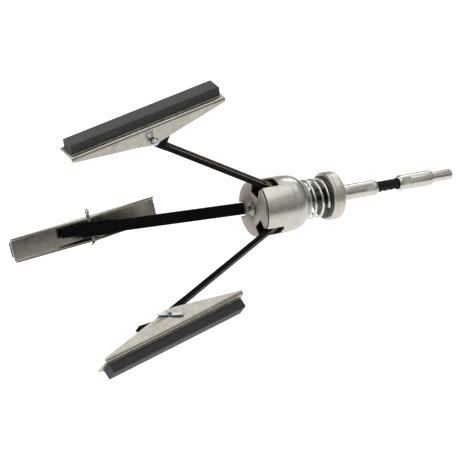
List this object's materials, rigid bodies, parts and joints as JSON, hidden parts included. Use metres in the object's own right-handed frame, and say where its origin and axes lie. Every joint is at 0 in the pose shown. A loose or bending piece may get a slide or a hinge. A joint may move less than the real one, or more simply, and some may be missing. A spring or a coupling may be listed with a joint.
{
  "type": "three-stone cylinder hone",
  "caption": "Drill-driven cylinder hone: sprung hub with spreading arms, each carrying a tilting stone holder with an abrasive stone, on a short flexible drive cable.",
  "frame": {"origin": "centre of the drill shank's end face, on the tool's axis", "axes": "+X along the axis out of the shank's end, so the stones point to -X; +Z along the top arm's radius; +Y by the right-hand rule"},
  "size_m": [0.2858, 0.156, 0.1414],
  "materials": {
    "drive_chrome": "bright drawn steel, polished",
    "spindle_chrome": "bright drawn steel, satin polished",
    "cable_black": "black coated wire rope",
    "plate_steel": "plain steel, warm brown-grey, fine face-turning marks",
    "turned_steel": "satin, fine turning marks",
    "sleeve_aluminium": "satin, turned",
    "spring_wire": "bright zinc",
    "carrier_sheet": "bright zinc-plated sheet, rolled grain",
    "arm_black": "blackened steel, low sheen",
    "hardened_steel": "hardened, oiled",
    "abrasive": "fine sintered grit"
  },
  "bodies": {
    "shank": {"drill_shank": "drive_chrome", "shank_coupling": "drive_chrome"},
    "cable": {"flex_cable": "cable_black"},
    "hub": {"spindle": "spindle_chrome", "front_plate": "plate_steel", "arm_carrier": "hardened_steel", "pivot_pin_top": "hardened_steel", "pivot_pin_left": "hardened_steel", "pivot_pin_right": "hardened_steel"},
    "sleeve": {"hub_sleeve": "sleeve_aluminium", "thrust_ring": "hardened_steel", "spring": "spring_wire"},
    "seat": {"spring_seat": "turned_steel"},
    "nut": {"tension_nut": "turned_steel"},
    "arm_top": {"arm_top": "arm_black"},
    "carrier_top": {"shoe_top": "carrier_sheet", "stone_top": "abrasive", "split_pin_top": "spring_wire"},
    "arm_left": {"arm_left": "arm_black"},
    "carrier_left": {"shoe_left": "carrier_sheet", "stone_left": "abrasive", "split_pin_left": "spring_wire"},
    "arm_right": {"arm_right": "arm_black"},
    "carrier_right": {"shoe_right": "carrier_sheet", "stone_right": "abrasive", "split_pin_right": "spring_wire"}
  },
  "joints": [
    {"name": "cable_bend_pitch", "type": "hinge", "parent": "shank", "child": "cable", "pos_m": [-0.0455, 0, 0], "axis": [0, 1, 0], "range_deg": [-10, 10], "stiffness_Nm_per_rad": 40, "deforming": ["flex_cable"]},
    {"name": "cable_bend_yaw", "type": "hinge", "parent": "cable", "child": "hub", "pos_m": [-0.0555, 0, 0], "axis": [0, 0, 1], "range_deg": [-10, 10], "stiffness_Nm_per_rad": 40, "deforming": ["flex_cable"]},
    {"name": "arm_top_swing", "type": "hinge", "parent": "hub", "child": "arm_top", "pos_m": [-0.138, 0, 0.0128], "axis": [0, 1, 0], "range_deg": [-22, 0], "stiffness_Nm_per_rad": 0.6, "springref_deg": 25.78},
    {"name": "arm_left_swing", "type": "hinge", "parent": "hub", "child": "arm_left", "pos_m": [-0.138, 0.01108, -0.0064], "axis": [0, -0.5, -0.866], "range_deg": [-22, 0], "stiffness_Nm_per_rad": 0.6, "springref_deg": 25.78},
    {"name": "arm_right_swing", "type": "hinge", "parent": "hub", "child": "arm_right", "pos_m": [-0.138, -0.01108, -0.0064], "axis": [0, -0.5, 0.866], "range_deg": [-22, 0], "stiffness_Nm_per_rad": 0.6, "springref_deg": 25.78},
    {"name": "sleeve_slide", "type": "slide", "parent": "hub", "child": "sleeve", "axis": [1, 0, 0], "range_m": [0, 0.00245], "deforming": ["spring"]},
    {"name": "nut_turn", "type": "hinge", "parent": "seat", "child": "nut", "pos_m": [-0.095, 0, 0], "axis": [1, 0, 0], "range_deg": [0, 1440]},
    {"name": "seat_travel", "type": "slide", "parent": "hub", "child": "seat", "axis": [1, 0, 0], "range_m": [0, 0.00401], "deforming": ["spring"]},
    {"name": "carrier_top_tilt", "type": "hinge", "parent": "arm_top", "child": "carrier_top", "pos_m": [-0.23238, 0, 0.06679], "axis": [0.063, -0.9979, 0.0139], "range_deg": [-41.8, 0]},
    {"name": "carrier_left_tilt", "type": "hinge", "parent": "arm_left", "child": "carrier_left", "pos_m": [-0.23276, 0.05727, -0.03306], "axis": [-0.1114, 0.4945, 0.862], "range_deg": [-30.4, 11.4]},
    {"name": "carrier_right_tilt", "type": "hinge", "parent": "arm_right", "child": "carrier_right", "pos_m": [-0.23508, -0.0535, -0.03089], "axis": [-0.0034, 0.4993, -0.8664], "range_deg": [-12.5, 29.3]}
  ],
  "couplings": [
    {"joint": "arm_left_swing", "follows": "arm_top_swing", "ratio": 1},
    {"joint": "arm_right_swing", "follows": "arm_top_swing", "ratio": 1},
    {"joint": "sleeve_slide", "follows": "arm_top_swing", "m_per_rad": -0.0062576},
    {"joint": "seat_travel", "follows": "nut_turn", "m_per_rad": 0.00015915}
  ]
}
